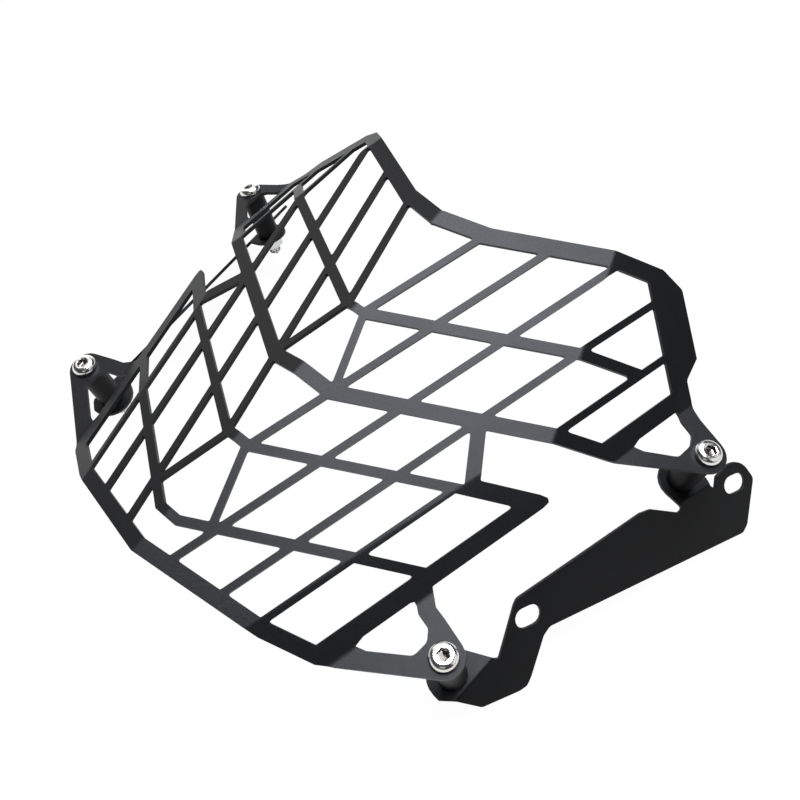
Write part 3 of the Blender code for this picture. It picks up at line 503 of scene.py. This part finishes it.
def blackened_steel():
    """Turned steel, blackened and oiled: dark, half dull, with fine lathe rings across it."""
    made, output = new_material("blackened turned steel")
    tree = made.node_tree
    wrap = add_node(tree, "ShaderNodeUVMap", {"uv_map": "wrap"}).outputs["UV"]
    stretched = add_node(tree, "ShaderNodeMapping", inputs={
        "Vector": wrap, "Scale": (RING_BREAKS, 0.01 / TURN_RINGS, 1.0)})
    rings = add_node(tree, "ShaderNodeTexNoise", inputs={
        "Vector": stretched.outputs["Vector"], "Scale": 1.0, "Detail": 3.0, "Roughness": 0.6})
    place = add_node(tree, "ShaderNodeTexCoord").outputs["Object"]
    stain = add_node(tree, "ShaderNodeTexNoise", inputs={
        "Vector": place, "Scale": 1.0 / STAIN_SIZE, "Detail": 4.0})
    colour = add_node(tree, "ShaderNodeMix", {"data_type": "RGBA"}, {
        "Factor": stain.outputs["Fac"], "A": linear(OXIDE_BLACK), "B": linear(OXIDE_STAIN)})
    gloss = add_node(tree, "ShaderNodeMapRange", inputs={
        "Value": rings.outputs["Fac"], "From Min": NOISE_SPAN[0], "From Max": NOISE_SPAN[1],
        "To Min": OXIDE_ROUGHNESS[0], "To Max": OXIDE_ROUGHNESS[1]})
    groove = add_node(tree, "ShaderNodeBump", inputs={
        "Strength": RING_STRENGTH, "Distance": RING_HEIGHT, "Height": rings.outputs["Fac"]})
    steel = add_node(tree, "ShaderNodeBsdfPrincipled", inputs={
        "Base Color": colour.outputs["Result"], "Roughness": gloss.outputs["Result"],
        "Normal": groove.outputs["Normal"], "IOR": 1.5, "Specular IOR Level": OXIDE_SHEEN})
    tree.links.new(steel.outputs[0], output.inputs["Surface"])
    return made


blackened = blackened_steel()
for station in STATIONS:
    reach, height = spacer_profile().T
    body = turned("tube", reach, height, station)
    tube = new_piece("spacer_" + station + "_tube", body, blackened)
    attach(tube, "root")
    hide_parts("spacer_" + station)


# Bolts
# Stainless button-head screws, M6 x 35, with a 4 mm hexagon socket, polished until they mirror
# the studio. The dome is forged, the socket is punched with a small lead-in, the thread rolled.

HEAD_RADIUS = 0.00525
HEAD_HEIGHT = 0.0033
HEAD_RIM = 0.0008
HEAD_FLAT = 0.0029
HEAD_EDGE = 0.0002
DOME_ROWS = 14
DOME_START = 0.08  # of a quarter turn, so that the first row leaves the flat
SOCKET_FLATS = 0.0040
SOCKET_DEPTH = 0.0020
SOCKET_POINT = 0.0006
SOCKET_DRAFT = 0.98
LEAD_IN_DEPTH = 0.0003
LEAD_IN_WIDTH = 0.00012
HAIR = 0.0001  # the closest that two rows of a profile usually lie
SHANK_RADIUS = 0.0030
BOLT_LENGTH = 0.0350
THREAD_PITCH = 0.0010
THREAD_DEPTH = 0.00042
THREAD_LENGTH = 0.0120
THREAD_ROWS = 120
TIP_TAPER = 0.0010
TIP_SLOPE = 0.8
TIP_LAND = 0.0004
TIP_CHAMFER = 0.0008
POLISH = ("#dedcd8", "#efeeec")
# Painted shade in the socket: its walls greyer than the dome, its floor darkest.
SOCKET_WALL_SHADE = "#a8a5a1"
SOCKET_FLOOR_SHADE = "#4b4743"
# Where the socket's floor and its edge lie on the wrap map, in centimetres from the pole; the
# painted shade fades out there.
FLOOR_SHADE_END = (0.17, 0.21)
SOCKET_SHADE_END = (0.39, 0.41)
WIPE_SIZE = 1.0 / 420.0  # wipe marks of 2 to 3 mm
WIPE_HEIGHT = 0.00005
WIPE_STRENGTH = 0.12
POLISH_ROUGHNESS = (0.15, 0.24)
SCREW_CARDS = (("right_card", (1.3, 0.5, 0.9)), ("left_card", (-1.2, 0.6, 0.5)))
SCREW_CARD_SIZE = (1.5, 1.2)
SCREW_CARD_WATTS = 5.0


def hexagon(flats, steps=ROUND_STEPS):
    """Reach to a hexagon's side: half the flats / cos(angle from the side's middle).

    The first corner lies at angle 0.
    """
    angles = math.tau * np.arange(steps) / steps
    off = (angles + math.pi / 3) % (math.pi / 3) - math.pi / 6
    return flats / 2 / np.cos(off)


def bolt_rows(steps=ROUND_STEPS):
    """Rows of radius and height: socket from its pole up, dome, shank, thread and tip.

    The dome is a quarter ellipse: radius = flat + (rim - flat) sin(t), and its height falls
    by (1 - cos(t)) of the dome's. The thread's radius falls from the crest by its depth times
    a triangle wave of (height / pitch + angle / full turn), which makes a helix.
    """
    seat = SEAT_GAP + SHEET
    top = seat + HEAD_HEIGHT
    floor = top - SOCKET_DEPTH
    under = seat + 0.3 * HAIR
    six = hexagon(SOCKET_FLATS, steps)
    ring = np.ones(steps)
    rows = [
        (0.0 * ring, floor - SOCKET_POINT),
        (six * SOCKET_DRAFT, floor),
        (six, floor + HAIR),
        (six, top - LEAD_IN_DEPTH),
        (six + LEAD_IN_WIDTH, top - HAIR),
        ((HEAD_FLAT - HEAD_EDGE) * ring, top),
        (HEAD_FLAT * ring, top - 0.1 * HAIR),
    ]
    for t in np.linspace(DOME_START, 1.0, DOME_ROWS) * math.pi / 2:
        radius = HEAD_FLAT + (HEAD_RADIUS - HEAD_FLAT) * math.sin(t)
        rows.append((radius * ring, top - (HEAD_HEIGHT - HEAD_RIM) * (1.0 - math.cos(t))))
    rows += [
        (HEAD_RADIUS * ring, seat + 3.0 * HAIR),
        ((HEAD_RADIUS - HEAD_EDGE) * ring, under),
        (SHANK_RADIUS * ring, under),
    ]
    tip = seat + SEAT_GAP - BOLT_LENGTH
    angles = np.arange(steps) / steps
    for h in np.linspace(tip + THREAD_LENGTH, tip + TIP_LAND, THREAD_ROWS):
        wave = np.abs(((h / THREAD_PITCH + angles) % 1.0) * 2.0 - 1.0)
        start = min(1.0, (tip + THREAD_LENGTH - h) / THREAD_PITCH)
        taper = max(0.0, (tip + TIP_TAPER - h)) * TIP_SLOPE
        rows.append((SHANK_RADIUS - taper - THREAD_DEPTH * start * wave, h))
    rows += [((SHANK_RADIUS - TIP_CHAMFER) * ring, tip), (0.0 * ring, tip)]
    return np.stack([r for r, _ in rows]), np.array([h for _, h in rows])


def polished_stainless():
    """Polished stainless steel: a bright mirror with faint swirls and a few soft wipe marks.

    The punched socket is painted greyer than the polished dome, and its floor darkest: painted
    shade in the recess.
    """
    made, output = new_material("polished stainless steel")
    tree = made.node_tree
    place = add_node(tree, "ShaderNodeTexCoord").outputs["Object"]
    wipe = add_node(tree, "ShaderNodeTexNoise", inputs={
        "Vector": place, "Scale": 1.0 / WIPE_SIZE, "Detail": 5.0, "Distortion": 1.2})
    polished = add_node(tree, "ShaderNodeMix", {"data_type": "RGBA"}, {
        "Factor": wipe.outputs["Fac"], "A": linear(POLISH[0]), "B": linear(POLISH[1])})
    wrap = add_node(tree, "ShaderNodeUVMap", {"uv_map": "wrap"}).outputs["UV"]
    along = add_node(tree, "ShaderNodeSeparateXYZ", inputs={"Vector": wrap}).outputs["Y"]
    # Painted shade: the socket greyer, and its floor darkest, down to the pole.
    socket = add_node(tree, "ShaderNodeMapRange", inputs={
        "Value": along, "From Min": SOCKET_SHADE_END[0], "From Max": SOCKET_SHADE_END[1],
        "To Min": 1.0, "To Max": 0.0})
    floor = add_node(tree, "ShaderNodeMapRange", inputs={
        "Value": along, "From Min": FLOOR_SHADE_END[0], "From Max": FLOOR_SHADE_END[1],
        "To Min": 1.0, "To Max": 0.0})
    punched_and_shaded = add_node(tree, "ShaderNodeMix", {"data_type": "RGBA"}, {
        "Factor": floor.outputs["Result"], "A": linear(SOCKET_WALL_SHADE), "B": linear(SOCKET_FLOOR_SHADE)})
    colour = add_node(tree, "ShaderNodeMix", {"data_type": "RGBA"}, {
        "Factor": socket.outputs["Result"], "A": polished.outputs["Result"],
        "B": punched_and_shaded.outputs["Result"]})
    gloss = add_node(tree, "ShaderNodeMapRange", inputs={
        "Value": wipe.outputs["Fac"], "From Min": NOISE_SPAN[0], "From Max": NOISE_SPAN[1],
        "To Min": POLISH_ROUGHNESS[0], "To Max": POLISH_ROUGHNESS[1]})
    scratch = add_node(tree, "ShaderNodeBump", inputs={
        "Strength": WIPE_STRENGTH, "Distance": WIPE_HEIGHT, "Height": wipe.outputs["Fac"]})
    steel = add_node(tree, "ShaderNodeBsdfPrincipled", inputs={
        "Base Color": colour.outputs["Result"], "Metallic": 1.0,
        "Roughness": gloss.outputs["Result"], "Normal": scratch.outputs["Normal"]})
    tree.links.new(steel.outputs[0], output.inputs["Surface"])
    return made


stainless = polished_stainless()
bright_parts = bpy.data.collections.new("bright parts")
for station in STATIONS:
    reach, height = bolt_rows()
    body = turned("screw", reach, height, station)
    screw = new_piece("bolt_" + station + "_screw", body, stainless)
    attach(screw, "root")
    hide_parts("bolt_" + station)
    bright_parts.objects.link(screw)

# Two white cards light the screws and nuts alone, as a photographer adds them for bright metal.
for card_name, card_place in SCREW_CARDS:
    card = soft_box(
        card_name, card_place, TABLE_MIDDLE, SCREW_CARD_SIZE, SCREW_CARD_WATTS, "#ffffff")
    card.light_linking.receiver_collection = bright_parts


# Nuts
# Zinc-plated hexagon nuts, M6, 10 mm across flats and 5 mm high, drawn up under the
# brackets' tabs. Both ends are turned to a cone that cuts the six corners into arcs.

NUT_FLATS = 0.0100
NUT_HEIGHT = 0.0050
NUT_FACE = 0.96  # of half the flats
NUT_GAP = 1.1 * SEAT_GAP  # just more than the seat's, so that the faces stay apart
CONE_DEPTH = 0.0008
CONE_ROWS = 8
CONE_ANGLE = 60.0  # degrees from the axis
THREAD_CLEAR = 0.00006
BORE_CHAMFER = 0.0004
ZINC = ("#c3c6c9", "#dcdcda")
# Zinc crystals are 20 microns, too fine to show, so they are drawn at 0.4 mm.
CRYSTAL_SIZE = 0.0004
CRYSTAL_HEIGHT = 0.00004
CRYSTAL_STRENGTH = 0.12
HAZE_SIZE = 0.002  # clouds of 2 mm from the bath
ZINC_ROUGHNESS = (0.20, 0.33)


def nut_rows(steps=ROUND_STEPS):
    """Rows down the outside, in at the lower face, up the bore and out again.

    The outside is the smaller of the hexagon and a cone at either end, whose radius grows
    from the face by the depth times the tangent of the cone's angle.
    """
    top = -SPACER_LENGTH - NUT_GAP - SHEET
    bottom = top - NUT_HEIGHT
    six = hexagon(NUT_FLATS, steps)
    face = NUT_FLATS / 2 * NUT_FACE
    ring = np.ones(steps)
    cone_depths = np.linspace(0.0, CONE_DEPTH, CONE_ROWS + 1)
    rows = [(face * ring, top)]
    for depth in np.concatenate([cone_depths[1:], [NUT_HEIGHT / 2],
                                 NUT_HEIGHT - cone_depths[:0:-1]]):
        cone = face + min(depth, NUT_HEIGHT - depth) * math.tan(math.radians(CONE_ANGLE))
        rows.append((np.minimum(six, cone), top - depth))
    mouth = (SHANK_RADIUS + BORE_CHAMFER) * ring
    bore = (SHANK_RADIUS + THREAD_CLEAR) * ring
    rows += [(face * ring, bottom), (mouth, bottom), (bore, bottom + BORE_CHAMFER),
             (bore, top - BORE_CHAMFER), (mouth, top), (face * ring, top)]
    return np.stack([r for r, _ in rows]), np.array([h for _, h in rows])


def zinc_plate():
    """Bright zinc plate: silver with a faint blue cast, finely crystalline and half dull."""
    made, output = new_material("bright zinc plate")
    tree = made.node_tree
    place = add_node(tree, "ShaderNodeTexCoord").outputs["Object"]
    crystals = add_node(tree, "ShaderNodeTexVoronoi", inputs={
        "Vector": place, "Scale": 1.0 / CRYSTAL_SIZE})
    haze = add_node(tree, "ShaderNodeTexNoise", inputs={
        "Vector": place, "Scale": 1.0 / HAZE_SIZE, "Detail": 4.0})
    colour = add_node(tree, "ShaderNodeMix", {"data_type": "RGBA"}, {
        "Factor": haze.outputs["Fac"], "A": linear(ZINC[0]), "B": linear(ZINC[1])})
    gloss = add_node(tree, "ShaderNodeMapRange", inputs={
        "Value": haze.outputs["Fac"], "From Min": NOISE_SPAN[0], "From Max": NOISE_SPAN[1],
        "To Min": ZINC_ROUGHNESS[0], "To Max": ZINC_ROUGHNESS[1]})
    grain = add_node(tree, "ShaderNodeBump", inputs={
        "Strength": CRYSTAL_STRENGTH, "Distance": CRYSTAL_HEIGHT,
        "Height": crystals.outputs["Distance"]})
    plate = add_node(tree, "ShaderNodeBsdfPrincipled", inputs={
        "Base Color": colour.outputs["Result"], "Metallic": 1.0,
        "Roughness": gloss.outputs["Result"], "Normal": grain.outputs["Normal"]})
    tree.links.new(plate.outputs[0], output.inputs["Surface"])
    return made


zinc = zinc_plate()
for station in STATIONS:
    reach, height = nut_rows()
    body = turned("plated nut", reach, height, station)
    nut = new_piece("nut_" + station + "_plated", body, zinc)
    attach(nut, "root")
    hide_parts("nut_" + station)
    bright_parts.objects.link(nut)
